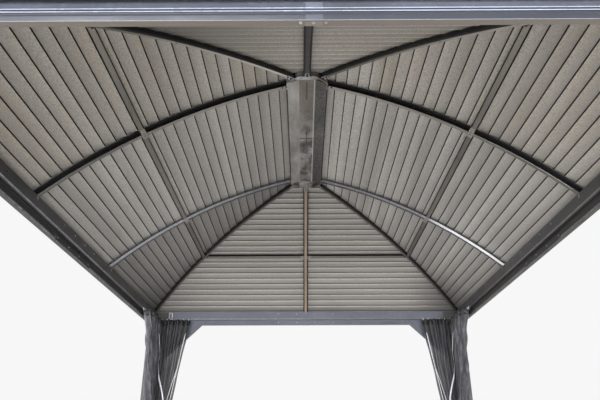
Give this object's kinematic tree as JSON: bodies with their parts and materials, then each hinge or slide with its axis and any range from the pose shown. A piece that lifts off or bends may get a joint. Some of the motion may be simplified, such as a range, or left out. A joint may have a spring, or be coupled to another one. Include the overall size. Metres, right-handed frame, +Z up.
{
  "type": "hardtop gazebo",
  "caption": "Free-standing garden gazebo with a hip roof of arched ribs and ribbed metal sheets on corner posts, with tied-back mosquito curtains.",
  "frame": {"origin": "on the ground, at the middle of the plan", "axes": "+X to the right across the width, +Y along the length from the front end (nearest in the picture) to the back, +Z up"},
  "size_m": [2.9886, 4.1986, 2.8449],
  "materials": {
    "post_paint": "satin",
    "beam_paint": "satin",
    "rail_paint": "satin",
    "plate_paint": "satin",
    "rafter_paint": "satin",
    "ridge_paint": "satin",
    "purlin_paint": "satin",
    "roof_sheet": "matte, embossed",
    "roof_cap": "satin",
    "curtain_net": "open mesh"
  },
  "bodies": {
    "root": {"beam_back": "beam_paint", "beam_front": "beam_paint", "beam_left": "beam_paint", "beam_right": "beam_paint", "beam_splices": "plate_paint", "corner_gussets": "plate_paint", "curtain_back_left": "curtain_net", "curtain_back_right": "curtain_net", "curtain_front_left": "curtain_net", "curtain_front_right": "curtain_net", "eave_trims": "roof_cap", "end_purlins": "purlin_paint", "end_rafter_back": "rafter_paint", "end_rafter_front": "rafter_paint", "hip_caps": "roof_cap", "hip_rafter_back_left": "rafter_paint", "hip_rafter_back_right": "rafter_paint", "hip_rafter_front_left": "rafter_paint", "hip_rafter_front_right": "rafter_paint", "post_back_left": "post_paint", "post_back_right": "post_paint", "post_front_left": "post_paint", "post_front_right": "post_paint", "rail_back": "rail_paint", "rail_front": "rail_paint", "rail_left": "rail_paint", "rail_right": "rail_paint", "ridge_beam": "ridge_paint", "ridge_cap": "roof_cap", "ridge_hub_back": "ridge_paint", "ridge_hub_front": "ridge_paint", "roof_back_left": "roof_sheet", "roof_back_right": "roof_sheet", "roof_front_left": "roof_sheet", "roof_front_right": "roof_sheet", "roof_left_back": "roof_sheet", "roof_left_front": "roof_sheet", "roof_left_middle": "roof_sheet", "roof_right_back": "roof_sheet", "roof_right_front": "roof_sheet", "roof_right_middle": "roof_sheet", "side_purlins": "purlin_paint", "side_rafter_back_left": "rafter_paint", "side_rafter_back_right": "rafter_paint", "side_rafter_front_left": "rafter_paint", "side_rafter_front_right": "rafter_paint"}
  },
  "joints": []
}
